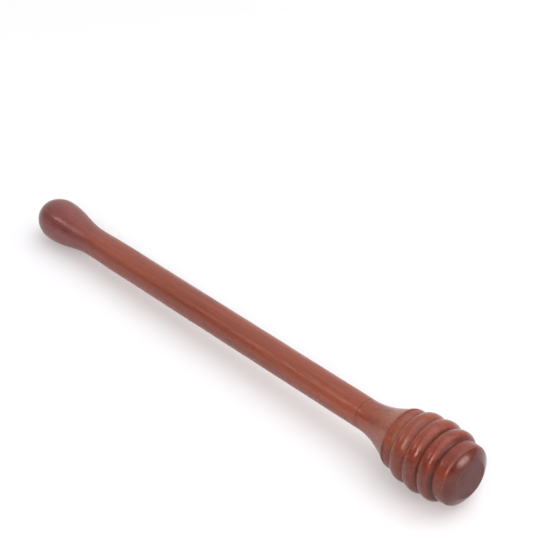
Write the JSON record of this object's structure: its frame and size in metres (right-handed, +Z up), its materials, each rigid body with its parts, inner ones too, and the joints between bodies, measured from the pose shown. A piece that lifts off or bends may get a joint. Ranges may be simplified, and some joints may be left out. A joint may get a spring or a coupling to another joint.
{
  "type": "honey dipper",
  "caption": "Turned wooden honey dipper: a slim round stick with a ball knob at one end and a flared, ringed and grooved barrel head with a flat end at the other.",
  "frame": {"origin": "centre of the bounding box on the table, under the middle of the dipper as it lies on its side", "axes": "+X along the dipper from the knob towards the grooved head, +Z up from the table, +Y to the left when looking along +X; the dipper's own axis rises about 1.5 degrees towards the head, because the head is thicker than the knob"},
  "size_m": [0.1608, 0.0194, 0.0195],
  "materials": {
    "handle_wood": "satin lacquer on reddish brown hardwood",
    "head_wood": "satin lacquer on reddish brown hardwood, end grain duller"
  },
  "bodies": {
    "root": {"handle": "handle_wood", "head": "head_wood"}
  },
  "joints": []
}
